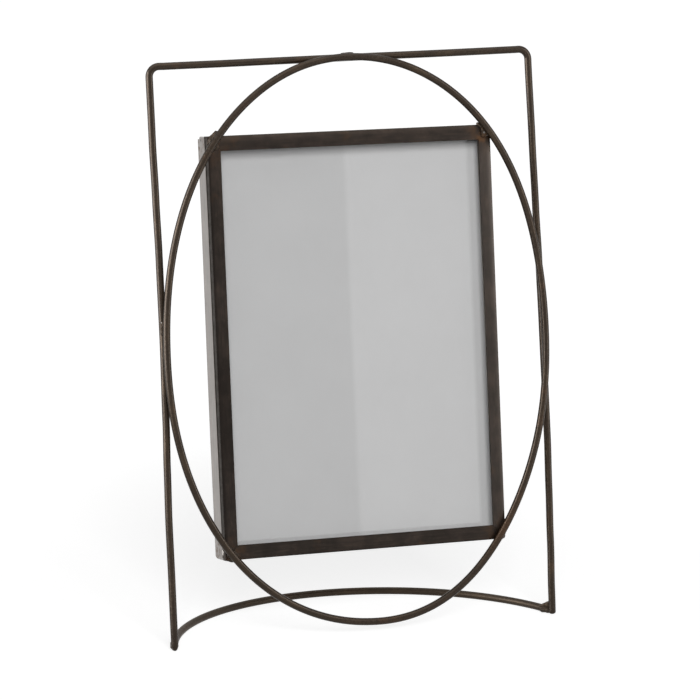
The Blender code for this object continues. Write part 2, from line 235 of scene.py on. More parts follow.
def outer_wire(material):
    """Up the left leg, across the top bar and down the right leg."""
    bend_v = TOP_BAR_V - CORNER_BEND
    bend_u = leg_u(bend_v) - CORNER_BEND
    heights = END_STEPS + spread(6.0, bend_v - 2.0, WIRE_STEP)

    def leg(side, v):
        bend = bend_at(RIGHT_LEG_BENDS if side > 0 else LEFT_LEG_BENDS, v)
        fade = min(1.0, v / SWAY_FADE) * min(1.0, (bend_v - v) / SWAY_FADE)
        return side * leg_u(v) + bend + sway(v, LEG_SWAY, side) * fade, v

    def bar(u):
        fade = min(1.0, (bend_u - abs(u)) / SWAY_FADE)
        return u, TOP_BAR_V + sway(u, BAR_SWAY, 7.0) * fade - BAR_SAG

    bend = [(bend_u + CORNER_BEND * math.cos(a), bend_v + CORNER_BEND * math.sin(a))
            for a in spread(0.0, math.pi / 2, 0.13)]
    flat_path = [leg(-1, v) for v in heights]
    flat_path += [(-u, v) for u, v in bend]
    flat_path += [bar(u) for u in spread(-bend_u, bend_u, WIRE_STEP)[1:-1]]
    flat_path += list(reversed(bend))
    flat_path += [leg(1, v) for v in reversed(heights)]
    path = [place(u, v, 0.0) for u, v in flat_path]
    radii = [bullet(v, LEFT_TIP) for v in heights]
    radii += [WIRE_RADIUS] * (len(path) - 2 * len(heights))
    radii += [bullet(v, RIGHT_TIP) for v in reversed(heights)]
    piece = tube("outer_wire_round", path, radii, FORWARD, material)
    for vert in piece.data.vertices:        # the ends are worn flat on the floor
        vert.co.z = max(vert.co.z, 0.0)
    return settle(piece, "frame", "iron_wire", "outer_wire")


def oval_place(turn):
    def full(value):
        return math.copysign(abs(value) ** (2 / OVAL_POWER), value)
    side, rise = full(math.cos(turn)), full(math.sin(turn))
    apparent = math.atan2(rise, side)
    stray = sum(a * math.cos(k * apparent) + b * math.sin(k * apparent)
                for k, a, b in OVAL_BENDS)
    out = Vector((side / OVAL_A, rise / OVAL_B)).normalized()
    return OVAL_U + OVAL_A * side + stray * out.x, OVAL_V + OVAL_B * rise + stray * out.y


def even_oval(step):
    """Places on the oval, an even step apart, from its right side round by the top."""
    fine = [oval_place(2 * math.pi * i / OVAL_SAMPLES) for i in range(OVAL_SAMPLES + 1)]
    lengths = [0.0]
    for (a, b), (c, d) in zip(fine, fine[1:]):
        lengths.append(lengths[-1] + math.hypot(c - a, d - b))
    count = round(lengths[-1] / step)
    places, k = [], 0
    for i in range(count):
        want = lengths[-1] * i / count
        while lengths[k + 1] < want:
            k += 1
        share = (want - lengths[k]) / (lengths[k + 1] - lengths[k])
        places.append(tuple(mix(a, b, share) for a, b in zip(fine[k], fine[k + 1])))
    return places


def oval_wire(material):
    path = [place(u, v, OVAL_N) for u, v in even_oval(WIRE_STEP)]
    piece = tube("oval_wire_round", path, [WIRE_RADIUS] * len(path), FORWARD, material,
                 closed=True)
    return settle(piece, "frame", "iron_wire", "oval_wire")


def foot_wire(material):
    """An arc of a circle on the floor, from the left leg by the rear to the right leg."""
    bow = FOOT_BACK_Y - FOOT_END_Y
    radius = (FOOT_END_X ** 2 + bow ** 2) / (2 * bow)
    half_length = math.atan2(FOOT_END_X, radius - bow) * radius
    runs = [half_length - s for s in END_STEPS]
    runs += [s for s in spread(half_length, 0.0, WIRE_STEP) if s < runs[-1] - 1.0]
    runs += [-s for s in reversed(runs[:-1])]
    path = []
    for run in runs:
        a = math.pi / 2 + run / radius
        path.append(Vector((radius * math.cos(a) + PLANE_X,
                            FOOT_BACK_Y - radius + radius * math.sin(a) + PLANE_Y,
                            WIRE_RADIUS)) * MM)
    radii = [bullet(half_length - abs(run), FOOT_TIP) for run in runs]
    piece = tube("foot_wire_round", path, radii, Vector((0, 0, 1)), material)
    return settle(piece, "frame", "iron_wire", "foot_wire")


def bent_sheet(outer_radius, sheet, front, back, first_w, last_w):
    """Pairs of (w, n), outside and inside, of a sheet bent round a box's edge.

    It runs from first_w in on the front, round the front bend, down the side and, where
    last_w is given, round the rear bend.
    """
    inner_radius = max(outer_radius - sheet, 0.05)
    centre = outer_radius if outer_radius > sheet else sheet + inner_radius

    def bend(n_centre, start, end):
        pairs = []
        for a in spread(start, end, math.pi / 12):
            out = (outer_radius + outer_radius * math.cos(a),
                   n_centre + outer_radius * math.sin(a))
            inn = (centre + inner_radius * math.cos(a), n_centre + inner_radius * math.sin(a))
            pairs.append((out, inn))
        return pairs

    pairs = [((w, front), (w, front - sheet)) for w in spread(first_w, outer_radius, 1.0)[:-1]]
    pairs += bend(front - outer_radius, math.pi / 2, math.pi)
    if last_w is None:
        side = spread(front - outer_radius, back, 1.0)[1:]
        return pairs + [((0.0, n), (sheet, n)) for n in side]
    side = spread(front - outer_radius, back + outer_radius, 1.0)[1:-1]
    pairs += [((0.0, n), (sheet, n)) for n in side]
    pairs += bend(back + outer_radius, math.pi, 3 * math.pi / 2)
    flange = spread(outer_radius, last_w, 1.0)[1:]
    return pairs + [((w, back), (w, back + sheet)) for w in flange]


def swept_sheet(name, pairs, stations, locate, material):
    """A sheet section swept through stations. locate(w, n, station) gives a place."""
    section = [out for out, inn in pairs] + [inn for out, inn in reversed(pairs)]
    size, half = len(section), len(pairs)
    verts = [locate(w, n, station) for station in stations for w, n in section]
    faces = []
    for i in range(len(stations) - 1):
        for k in range(size):
            m = (k + 1) % size
            faces.append((i * size + k, i * size + m, (i + 1) * size + m, (i + 1) * size + k))
    for base in (0, (len(stations) - 1) * size):
        for k in range(half - 1):
            faces.append((base + k, base + k + 1, base + size - 2 - k, base + size - 1 - k))
    mesh = bpy.data.meshes.new(name)
    mesh.from_pydata([tuple(v) for v in verts], [], faces)
    mesh.validate()
    turn_outwards(mesh)
    mesh.set_sharp_from_angle(angle=math.radians(38))
    piece = add_object(name, mesh, material)
    soften(piece)
    return piece


def ground_corner(u, v):
    """The face frame's lower right corner is ground round."""
    inside = Vector((BOX_HALF_W - GROUND_CORNER, GROUND_CORNER - BOX_HALF_H))
    out = Vector((u, v)) - inside
    if out.x > 0 > out.y and out.length > GROUND_CORNER:
        out.length = GROUND_CORNER
        return tuple(inside + out)
    return u, v


def face_piece(name, side_u, side_v, material):
    """One side of the mitred face frame, which is a length of thin angle."""
    width = STILE_W if side_u else RAIL_W
    worn = EDGE_WEAR if side_u > 0 or side_v < 0 else 0.0
    pairs = bent_sheet(FACE_FOLD, FACE_SHEET, FACE_N, FACE_N - FACE_RETURN, width, None)
    stations = sorted(spread(-1.0, 1.0, 0.05) + MITRE_STEPS + [-s for s in MITRE_STEPS])

    def locate(w, n, station):
        wave = RIPPLE * noise.noise(Vector((station * 7, side_u * 3.1 + side_v * 5.7, w / 4)))
        w = w + worn * max(0.0, 1 - w / width)
        if n > FACE_N - 0.1:
            n = n + wave - 0.02 - FACE_CAMBER * max(0.0, 1 - w / width) ** 2
        if side_u:
            u = side_u * (BOX_HALF_W - w)
            v = (BOX_HALF_H - w * RAIL_W / STILE_W - HAIRLINE) * station
        else:
            u = (BOX_HALF_W - w * STILE_W / RAIL_W - HAIRLINE) * station
            v = side_v * (BOX_HALF_H - w)
        u, v = ground_corner(u, v)
        return place(BOX_U + u + v * FACE_SHEAR, BOX_V + v - u * FACE_TURN, n)

    piece = swept_sheet(name + "_angle", pairs, stations, locate, material)
    return settle(piece, "frame", "iron_sheet", name)


def channel(material):
    """The strip bent round the box's sides and bottom, open at the top."""
    pairs = bent_sheet(CHANNEL_FOLD, CHANNEL_SHEET, CHANNEL_FRONT, CHANNEL_BACK,
                       CHANNEL_FLANGE, CHANNEL_FLANGE)
    top = BOX_HALF_H - CHANNEL_TOP_DROP
    side_steps, bend_steps = spread(0.0, 1.0, 0.04), spread(0.0, 1.0, 0.125)
    stations = [("left", s) for s in side_steps]        # from the left side's top down
    stations += [("left_turn", s) for s in bend_steps[1:]]
    stations += [("bottom", s) for s in spread(0.0, 1.0, 0.05)[1:]]
    stations += [("right_turn", s) for s in bend_steps[1:]]
    stations += [("right", s) for s in side_steps[1:]]

    def locate(w, n, station):
        where, share = station
        radius = max(CHANNEL_BEND - w, 0.1)
        side, low = BOX_HALF_W - w, w - BOX_HALF_H
        turn = share * math.pi / 2
        wave = abs(RIPPLE * noise.noise(Vector((share * 9, n / 3, len(where) * 1.7))))
        if where == "left":
            rear = (CHANNEL_FRONT - n) / (CHANNEL_FRONT - CHANNEL_BACK)
            pinch = SIDE_PINCH * min(1.0, max(0.0, 1.5 - 2.2 * share))
            pinch += REAR_PINCH * rear * max(0.0, 1 - 1.8 * share)
            nick = NICK_DEPTH * min(1.0, max(0.0, NICK_N - n))
            up = 1 - share
            u = pinch - (side - wave * min(1, 4 * up * (1 - up)))
            v = mix(low + radius, top + (LEFT_TOP_RISE - nick), up)
        elif where == "left_turn":
            u = radius - side - radius * math.cos(turn)
            v = low + radius - radius * math.sin(turn)
        elif where == "bottom":
            u, v = mix(radius - side, side - radius, share), low
        elif where == "right_turn":
            u = side - radius + radius * math.sin(turn)
            v = low + radius - radius * math.cos(turn)
        else:
            u = side - wave * min(1, 4 * share * (1 - share))
            v = mix(low + radius, top, share)
        return place(BOX_U + u, BOX_V + v, n)

    piece = swept_sheet("channel_strip", pairs, stations, locate, material)
    return settle(piece, "frame", "steel_sheet", "rear_channel")


def pane(name, front, thickness, edge, segments, material):
    """A loose sheet with its edges rounded or ground."""
    work = bmesh.new()
    bmesh.ops.create_cube(work, size=1.0)
    bmesh.ops.scale(work, vec=(PANE_W, PANE_H, thickness), verts=work.verts)
    bmesh.ops.bevel(work, geom=work.edges[:], offset=edge, segments=segments, affect="EDGES",
                    profile=0.5)
    middle = PANE_BOTTOM - BOX_HALF_H + PANE_H / 2
    for vert in work.verts:
        u, v, n = vert.co
        vert.co = place(BOX_U + u, BOX_V + middle + v, front - thickness / 2 + n)
    mesh = bpy.data.meshes.new(name)
    bmesh.ops.recalc_face_normals(work, faces=work.faces)
    work.to_mesh(mesh)
    work.free()
    return add_object(name, mesh, material)


def add_hull(work, balls):
    """Add the hull round a group of balls to a bmesh."""
    part = bmesh.new()
    for u, v, n, radius in balls:
        made = bmesh.ops.create_icosphere(part, subdivisions=2, radius=radius)
        bmesh.ops.translate(part, verts=made["verts"], vec=(u, v, n))
    made = bmesh.ops.convex_hull(part, input=part.verts)
    spare = [g for g in made["geom_interior"] + made["geom_unused"]
             if isinstance(g, bmesh.types.BMVert)]
    bmesh.ops.delete(part, geom=spare, context="VERTS")
    shape = bpy.data.meshes.new("hull")
    part.to_mesh(shape)
    part.free()
    work.from_mesh(shape)
    bpy.data.meshes.remove(shape)


def weld(name, hulls, rough, seed, material, to_place):
    """A lump of weld: hulls round groups of balls, melted together and roughened."""
    work = bmesh.new()
    for balls in hulls:
        add_hull(work, balls)
    mesh = bpy.data.meshes.new(name)
    work.to_mesh(mesh)
    work.free()
    piece = add_object(name, mesh, material)
    remesh = piece.modifiers.new("melt", "REMESH")
    remesh.mode = "VOXEL"
    remesh.voxel_size = 0.2             # millimetres, as the balls are
    soft = piece.modifiers.new("settle", "SMOOTH")
    soft.iterations = 3
    soft.factor = 0.6
    depsgraph = bpy.context.evaluated_depsgraph_get()
    melted = bpy.data.meshes.new_from_object(piece.evaluated_get(depsgraph))
    piece.modifiers.clear()
    normals = [v.normal.copy() for v in melted.vertices]
    for vert, normal in zip(melted.vertices, normals):
        p = vert.co + Vector((seed * 3.7, seed * 1.3, 0))
        lump = noise.fractal(p * 0.9, 0.9, 2.1, 3) * rough
        vert.co = to_place(*(vert.co + normal * lump))
    melted.shade_smooth()
    melted.materials.clear()
    melted.materials.append(material)
    piece.data = melted
    bpy.data.meshes.remove(mesh)
    return piece


# ---------------------------------------------------------------- materials

class Tree:
    """Helpers for building a node tree. Colours are given as red, green and blue."""

    def __init__(self, node_tree):
        self.nodes, self.links = node_tree.nodes, node_tree.links

    def feed(self, node, socket, value):
        target = node.inputs[socket]
        if isinstance(value, bpy.types.NodeSocket):
            self.links.new(value, target)
        elif target.type == "RGBA":
            target.default_value = (*value, 1.0)
        else:
            target.default_value = value

    def add(self, kind, inputs, output=0, **settings):
        node = self.nodes.new("ShaderNode" + kind)
        for setting, value in settings.items():
            setattr(node, setting, value)
        for socket, value in inputs.items():
            self.feed(node, socket, value)
        return node.outputs[output]

    def maths(self, operation, a, b):
        return self.add("Math", {0: a, 1: b}, operation=operation)

    def seen_directly(self):
        """1 for camera, glossy and transmission rays, which see the white background.

        A ray that has left a matt surface is light on it, also when glass is in its way.
        """
        path = self.nodes.new("ShaderNodeLightPath").outputs
        direct = path["Is Camera Ray"]
        for other in ("Is Glossy Ray", "Is Transmission Ray"):
            direct = self.maths("MAXIMUM", direct, path[other])
        return self.maths("MULTIPLY", direct, self.maths("LESS_THAN", path["Diffuse Depth"], 0.5))


class Recipe(Tree):
    """A node material in the making, round its Principled shader."""

    def __init__(self, name, **sockets):
        self.material = bpy.data.materials.new(name)
        self.material.use_nodes = True
        super().__init__(self.material.node_tree)
        self.shader = self.nodes["Principled BSDF"]
        self.paint(**sockets)

    def paint(self, **sockets):
        for socket, value in sockets.items():
            self.feed(self.shader, socket.replace("_", " "), value)
        return self.material

    def show(self, surface):
        """Send another shader than the Principled one to the material's surface."""
        self.feed(self.nodes["Material Output"], "Surface", surface)
        return self.material

    def object_place(self):
        return self.add("TexCoord", {}, "Object")

    def wire_place(self):
        return self.add("Attribute", {}, "Vector", attribute_name="wire_place")

    def vector(self, operation, a, b=None, output=0):
        inputs = {0: a} if b is None else {0: a, 1: b}
        return self.add("VectorMath", inputs, output, operation=operation)

    def stretch(self, vector, scale):
        return self.vector("MULTIPLY", vector, scale)

    def axis(self, vector, name):
        return self.add("SeparateXYZ", {"Vector": vector}, name)

    def noise(self, vector, scale, detail=3.0, roughness=0.55, distortion=0.0):
        return self.add("TexNoise", {"Vector": vector, "Scale": scale, "Detail": detail,
                                     "Roughness": roughness, "Distortion": distortion}, "Fac")

    def remap(self, value, low, high, to_low=0.0, to_high=1.0):
        return self.add("MapRange", {"Value": value, "From Min": low, "From Max": high,
                                     "To Min": to_low, "To Max": to_high},
                        interpolation_type="SMOOTHSTEP")

    def weigh(self, a, share, b):
        """A share of a and the rest of b."""
        return self.maths("ADD", self.maths("MULTIPLY", a, share),
                          self.maths("MULTIPLY", b, 1 - share))

    def blend(self, share, a, b, blend_type="MIX"):
        return self.add("MixRGB", {"Fac": share, "Color1": a, "Color2": b},
                        blend_type=blend_type)

    def ramp(self, value, stops):
        node = self.nodes.new("ShaderNodeValToRGB")
        self.feed(node, "Fac", value)
        marks = node.color_ramp.elements
        while len(marks) < len(stops):
            marks.new(0.5)
        for mark, (at, colour) in zip(marks, stops):
            mark.position = at
            mark.color = (*colour, 1.0)
        return node.outputs["Color"]

    def relief(self, height, strength, distance):
        return self.add("Bump", {"Height": height, "Strength": strength,
                                 "Distance": distance * MM}, "Normal")

    def nearness(self, where, centre, near, reach):
        """1 at a place, falling to 0 from near to reach, in millimetres."""
        length = self.vector("DISTANCE", where, tuple(centre), "Value")
        return self.remap(length, near * MM, reach * MM, 1.0, 0.0)

    def corner_nearness(self, where, reach):
        """1 at the picture box's corners, falling to 0 at a distance in millimetres."""
        folded = self.vector("ABSOLUTE", self.vector("SUBTRACT", where, tuple(BOX_CENTRE)))
        apart = self.vector("SUBTRACT", folded, BOX_CORNER)
        length = self.vector("LENGTH", self.stretch(apart, (1.0, 0.0, 1.0)), output="Value")
        return self.remap(length, 2.0 * MM, reach * MM, 1.0, 0.0)


WHITE = (1.0, 1.0, 1.0)
EDGE_TINT = (0.70, 0.68, 0.66)          # dark patina glints less at a slant than bare metal
FOOT_TINT = (0.50, 0.45, 0.40)
BLACK_IRON = (0.022, 0.0150, 0.0100)
DARK_IRON = (0.030, 0.0205, 0.0135)
BROWN_IRON = (0.046, 0.031, 0.019)
PAINTED_LIGHT_IRON = (0.098, 0.078, 0.058)
BLACK_SHEET = (0.0170, 0.0135, 0.0112)
DARK_SHEET = (0.0235, 0.0182, 0.0152)
BROWN_SHEET = (0.038, 0.028, 0.0225)
PALER_STILE = (0.16, 0.14, 0.125)
PALER_RAIL = (0.16, 0.125, 0.10)
SHADE_AND_DARK_PATCH = (0.008, 0.006, 0.005)
RUST = (0.066, 0.036, 0.019)
BROWN_RUST = (0.050, 0.027, 0.014)
ORANGE_RUST = (0.078, 0.037, 0.015)
WORN_IRON = (0.16, 0.15, 0.135)
BARE_AND_GLINT_WELD = (0.20, 0.19, 0.18)
PAINTED_HIGHLIGHT_WELD = (0.62, 0.59, 0.56)
STEEL_TONES = [(0.34, (0.215, 0.197, 0.184)), (0.50, (0.310, 0.288, 0.272)),
               (0.66, (0.395, 0.370, 0.352))]
STEEL_STAIN = (0.12, 0.075, 0.045)
NOTCH_SHADE = (0.03, 0.025, 0.022)
CUT_STEEL = (0.62, 0.60, 0.58)
LEFT_CARD = [(0.3, (0.477, 0.475, 0.478)), (0.7, (0.507, 0.505, 0.508))]
RIGHT_CARD = [(0.3, (0.540, 0.537, 0.540)), (0.7, (0.570, 0.567, 0.570))]
CARD_CLOUD = [(0.3, (0.97, 0.97, 0.97)), (0.7, WHITE)]
BOARD_TONES = [(0.36, (0.020, 0.018, 0.017)), (0.50, (0.034, 0.031, 0.029)),
               (0.68, (0.062, 0.055, 0.049))]

# Spots in the leaning plane that the photo shows
BROWN_STRETCH = place(69.5, 44.0, OVAL_N)       # on the oval, at the box's lower right
STILE_DARK_PATCH = place(-62.0, 104.0, FACE_N)
FACE_RUST = place(66.1, 219.0, FACE_N)
WELD_RUST = place(66.1, 218.2, 2.3)
CHANNEL_NOTCH_SHADE = place(-64.8, 223.5, -8.6)
HIGHLIGHT_SPOT = place(-65.3, 41.4, -2.75)
# Painted glints on the welds: place, and reach in millimetres
GLINT_SPOTS = [(place(-90.6, 145.3, 2.4), 0.5), (place(-89.1, 144.9, 3.1), 0.6),
              (place(-89.7, 139.9, 2.6), 0.6), (place(65.9, 220.5, 3.2), 0.6),
              (place(68.0, 220.5, 3.0), 0.8), (place(67.6, 218.9, 2.6), 0.6)]


def wire_look(name, painted_light, tint, smoothest):
    """Dark patina, streaked along the wire, with rust, a little wear and, where asked, a paler
    tone that is painted light.
    """
    r = Recipe(name, Metallic=0.40, Specular_IOR_Level=0.35, Specular_Tint=tint)
    where, along = r.object_place(), r.wire_place()
    streak = r.noise(r.stretch(along, (0.07, 1.0, 1.0)), 1500.0, 3.0, 0.6)
    patch = r.noise(r.stretch(along, (0.5, 1.0, 1.0)), 120.0, 3.0, 0.6, 0.4)
    speck = r.noise(where, 2600.0, 2.0, 0.6)
    colour = r.ramp(r.weigh(streak, 0.55, patch),
                    [(0.36, BLACK_IRON), (0.50, DARK_IRON), (0.64, BROWN_IRON)])
    rusty = r.remap(r.noise(where, 75.0, 4.0, 0.65), 0.56, 0.72, 0.0, 0.40)
    colour = r.blend(rusty, colour, RUST)
    colour = r.blend(r.remap(speck, 0.70, 0.76, 0.0, 0.22), colour, WORN_IRON)
    brown = r.maths("MULTIPLY", r.nearness(where, BROWN_STRETCH, 4.0, 22.0),
                    r.remap(patch, 0.35, 0.6, 0.3, 0.9))
    colour = r.blend(brown, colour, BROWN_RUST)
    # Painted light: a paler colour stands in for light that the wire's reflection lacks.
    if painted_light:
        colour = r.blend(painted_light, colour, PAINTED_LIGHT_IRON)
    rough = r.remap(r.noise(along, 700.0, 3.0), 0.3, 0.7, smoothest, smoothest + 0.14)
    height = r.weigh(streak, 0.6, speck)
    return r.paint(Base_Color=colour, Roughness=rough, Normal=r.relief(height, 0.25, 0.04))


def stile_tones_and_shade(r, colour, where):
    """The stiles' tones: paler to the right, darker along the left edge as painted shade, and
    darker at the lower left.
    """
    across, up = r.axis(where, "X"), r.axis(where, "Z")
    right_side = r.remap(across, 0.045, 0.062, 0.0, 0.085)
    right_edge = r.remap(across, 0.0660, 0.0684, 0.0, 0.20)
    pale = r.maths("MULTIPLY", r.maths("ADD", right_side, right_edge),
                   r.remap(up, 0.120, 0.200, 0.75, 1.10))
    pale = r.maths("MULTIPLY", pale, r.remap(up, 0.208, 0.217, 1.0, 0.1))
    colour = r.blend(pale, colour, PALER_STILE)
    # Painted shade: a dark line along the left stile's outer edge.
    left_edge = r.remap(across, -0.0653, -0.0642, 0.6, 0.0)
    lower_left = r.maths("MULTIPLY", r.nearness(where, STILE_DARK_PATCH, 8.0, 45.0), 0.5)
    return r.blend(r.maths("MAXIMUM", left_edge, lower_left), colour, SHADE_AND_DARK_PATCH)


def paler_top_rail(r, colour, where):
    """The top rail is a little paler towards its upper edge."""
    low, high = place(0, 221.5, FACE_N).z, place(0, 225.2, FACE_N).z
    return r.blend(r.remap(r.axis(where, "Z"), low, high, 0.0, 0.16), colour, PALER_RAIL)


def sheet_look(name, grain, tones_and_shade):
    """Dark painted sheet. grain is the scale of its streaks on each axis."""
    r = Recipe(name, Metallic=0.86, Specular_Tint=EDGE_TINT)
    where = r.object_place()
    streak = r.noise(r.stretch(where, grain), 1100.0, 3.0, 0.6)
    cloud = r.noise(where, 95.0, 4.0, 0.6, 0.3)
    speck = r.noise(where, 2300.0, 2.0, 0.6)
    colour = r.ramp(r.weigh(streak, 0.4, cloud),
                    [(0.38, BLACK_SHEET), (0.50, DARK_SHEET), (0.66, BROWN_SHEET)])
    rusting = r.noise(where, 260.0, 5.0, 0.65)
    at_corners = r.maths("MULTIPLY", r.corner_nearness(where, 13.0),
                         r.remap(rusting, 0.38, 0.66, 0.0, 0.7))
    patches = r.remap(r.noise(where, 55.0, 4.0, 0.7), 0.58, 0.74, 0.0, 0.35)
    colour = r.blend(r.maths("MAXIMUM", at_corners, patches), colour, RUST)
    orange = r.maths("MULTIPLY", r.nearness(where, FACE_RUST, 1.5, 4.2),
                     r.remap(rusting, 0.35, 0.60, 0.2, 0.8))
    colour = tones_and_shade(r, r.blend(orange, colour, ORANGE_RUST), where)
    colour = r.blend(r.remap(speck, 0.71, 0.77, 0.0, 0.4), colour, WORN_IRON)
    rough = r.remap(r.noise(where, 420.0, 3.0), 0.3, 0.7, 0.30, 0.46)
    height = r.weigh(streak, 0.5, speck)
    return r.paint(Base_Color=colour, Roughness=rough, Normal=r.relief(height, 0.45, 0.04))


def steel_look():
    """Bare thin sheet: rolled grain, grey mottling, a bright cut top, a black front face and a
    spot of painted shade at a notch.
    """
    r = Recipe("bare_sheet", Metallic=1.0)
    where = r.object_place()
    grain = r.noise(r.stretch(where, (1.0, 1.0, 0.05)), 1300.0, 3.0, 0.6)
    cloud = r.noise(where, 130.0, 4.0, 0.65, 0.4)
    colour = r.ramp(r.weigh(grain, 0.35, cloud), STEEL_TONES)
    stain = r.maths("MULTIPLY", r.corner_nearness(where, 12.0),
                    r.remap(r.noise(where, 420.0, 4.0, 0.7), 0.45, 0.66))
    colour = r.blend(stain, colour, STEEL_STAIN)
    up_lean = r.vector("DOT_PRODUCT", where, (0.0, math.sin(LEAN), math.cos(LEAN)), "Value")
    top = BOX_V + BOX_HALF_H - CHANNEL_TOP_DROP + LEFT_TOP_RISE + PLANE_Y * math.sin(LEAN)
    cut_top = r.remap(up_lean, (top - 0.45) * MM, (top - 0.15) * MM)
    colour = r.blend(cut_top, colour, CUT_STEEL)
    forward = r.vector("DOT_PRODUCT", where, (0.0, -math.cos(LEAN), math.sin(LEAN)), "Value")
    front = CHANNEL_FRONT - PLANE_Y * math.cos(LEAN)
    # The front face of the channel's flange is made near black.
    black_front = r.remap(forward, (front - 0.10) * MM, (front - 0.02) * MM)
    colour = r.blend(black_front, colour, BLACK_IRON)
    # Painted shade: a dark spot where the channel's top has a small notch.
    colour = r.blend(r.nearness(where, CHANNEL_NOTCH_SHADE, 0.35, 0.85), colour, NOTCH_SHADE)
    rough = r.remap(cloud, 0.3, 0.7, 0.34, 0.50)
    return r.paint(Base_Color=colour, Roughness=rough, Normal=r.relief(grain, 0.3, 0.03))


def weld_look():
    """Burnt scale, with rust, bare specks, painted glints in spots and one painted highlight."""
    r = Recipe("weld_scale", Metallic=0.45, Specular_IOR_Level=0.35, Specular_Tint=EDGE_TINT)
    where = r.object_place()
    coarse = r.noise(where, 620.0, 4.0, 0.65, 0.5)
    fine = r.noise(where, 2400.0, 3.0, 0.6)
    colour = r.ramp(coarse, [(0.36, BLACK_IRON), (0.50, DARK_IRON), (0.60, BROWN_IRON),
                             (0.70, RUST)])
    orange = r.maths("MULTIPLY", r.nearness(where, WELD_RUST, 1.0, 3.0),
                     r.remap(fine, 0.35, 0.6, 0.1, 0.7))
    colour = r.blend(orange, colour, ORANGE_RUST)
    bright = r.remap(fine, 0.67, 0.73, 0.0, 0.45)
    # Painted glints: bright spots placed on the welds.
    for centre, reach in GLINT_SPOTS:
        spot = r.maths("MULTIPLY", r.nearness(where, centre, 0.5 * reach, reach),
                       r.remap(fine, 0.3, 0.5, 0.4, 1.0))
        bright = r.maths("MAXIMUM", bright, spot)
    colour = r.blend(bright, colour, BARE_AND_GLINT_WELD)
    # Painted highlight: a bright metal spot at the channel's lower left.
    colour = r.blend(r.nearness(where, HIGHLIGHT_SPOT, 1.1, 1.5), colour, PAINTED_HIGHLIGHT_WELD)
    rough = r.remap(fine, 0.3, 0.7, 0.36, 0.60)
    height = r.weigh(coarse, 0.7, fine)
    return r.paint(Base_Color=colour, Roughness=rough, Normal=r.relief(height, 0.5, 0.18))


def glass_look():
    """Clear float glass that lets lamps through, with faint wipe marks in its polish."""
    r = Recipe("clear_float_glass", Transmission_Weight=1.0, IOR=1.5)
    smear = r.noise(r.stretch(r.object_place(), (0.5, 1.0, 1.0)), 60.0, 4.0, 0.6, 1.5)
    r.paint(Base_Color=(0.990, 0.992, 0.991), Roughness=r.remap(smear, 0.35, 0.75, 0.01, 0.05))
    clear = r.add("BsdfTransparent", {"Color": (0.975, 0.977, 0.976)})
    lamp_ray = r.add("LightPath", {}, "Is Shadow Ray")
    return r.show(r.add("MixShader", {0: lamp_ray, 1: r.shader.outputs[0], 2: clear}))


def card_look():
    """Plain grey card with its two halves a little apart in tone: painted shading of a slight
    crease down its middle.
    """
    r = Recipe("blank_card", Metallic=0.0)
    where = r.object_place()
    middle = BOX_U + PLANE_X
    right_half = r.remap(r.axis(where, "X"), (middle - 1.6) * MM, (middle + 1.6) * MM)
    fibre = r.noise(r.stretch(where, (1.0, 1.0, 0.5)), 900.0, 4.0, 0.65)
    cloud = r.noise(where, 40.0, 3.0, 0.5)
    # Painted shade: the step in tone between the halves stands in for a crease.
    colour = r.blend(right_half, r.ramp(fibre, LEFT_CARD), r.ramp(fibre, RIGHT_CARD))
    colour = r.blend(1.0, colour, r.ramp(cloud, CARD_CLOUD), "MULTIPLY")
    rough = r.remap(fibre, 0.3, 0.7, 0.78, 0.92)
    return r.paint(Base_Color=colour, Roughness=rough, Normal=r.relief(fibre, 0.25, 0.02))


def board_look():
    """Thin black hardboard of pressed fibre."""
    r = Recipe("black_fibreboard", Metallic=0.0, Specular_IOR_Level=0.3)
    where = r.object_place()
    fibre = r.noise(r.stretch(where, (1.0, 1.0, 0.35)), 1000.0, 5.0, 0.7, 1.0)
    cloud = r.noise(where, 45.0, 4.0, 0.6)
    colour = r.ramp(r.weigh(fibre, 0.6, cloud), BOARD_TONES)
    rough = r.remap(fibre, 0.3, 0.7, 0.55, 0.80)
    return r.paint(Base_Color=colour, Roughness=rough, Normal=r.relief(fibre, 0.5, 0.12))


# ---------------------------------------------------------------- the frame's pieces

iron = wire_look("wire_patina", 0.0, EDGE_TINT, 0.22)
# The foot wire's paler tone is painted light.
foot_iron = wire_look("foot_patina_painted_light", 0.13, FOOT_TINT, 0.36)
rail_iron = sheet_look("rail_patina", (0.08, 1.0, 1.0), paler_top_rail)
stile_iron = sheet_look("stile_patina_and_shade", (1.0, 1.0, 0.08), stile_tones_and_shade)
steel, weld_iron = steel_look(), weld_look()

dark = [outer_wire(iron), oval_wire(iron), foot_wire(foot_iron),
        face_piece("face_top_rail", 0, 1, rail_iron),
        face_piece("face_bottom_rail", 0, -1, rail_iron),
        face_piece("face_left_stile", -1, 0, stile_iron),
        face_piece("face_right_stile", 1, 0, stile_iron)]
channel(steel)

glass = pane("glass_sheet", GLASS_N, GLASS_T, edge=0.22, segments=2, material=glass_look())
card = pane("blank_card_sheet", CARD_N, CARD_T, edge=0.06, segments=1, material=card_look())
board = pane("back_board", BOARD_N, BOARD_T, edge=0.3, segments=3, material=board_look())
settle(glass, "glass", "clear_glass", "glass_pane")
settle(card, "card", "grey_card", "photo_card")
settle(board, "back", "black_board", "back_panel")

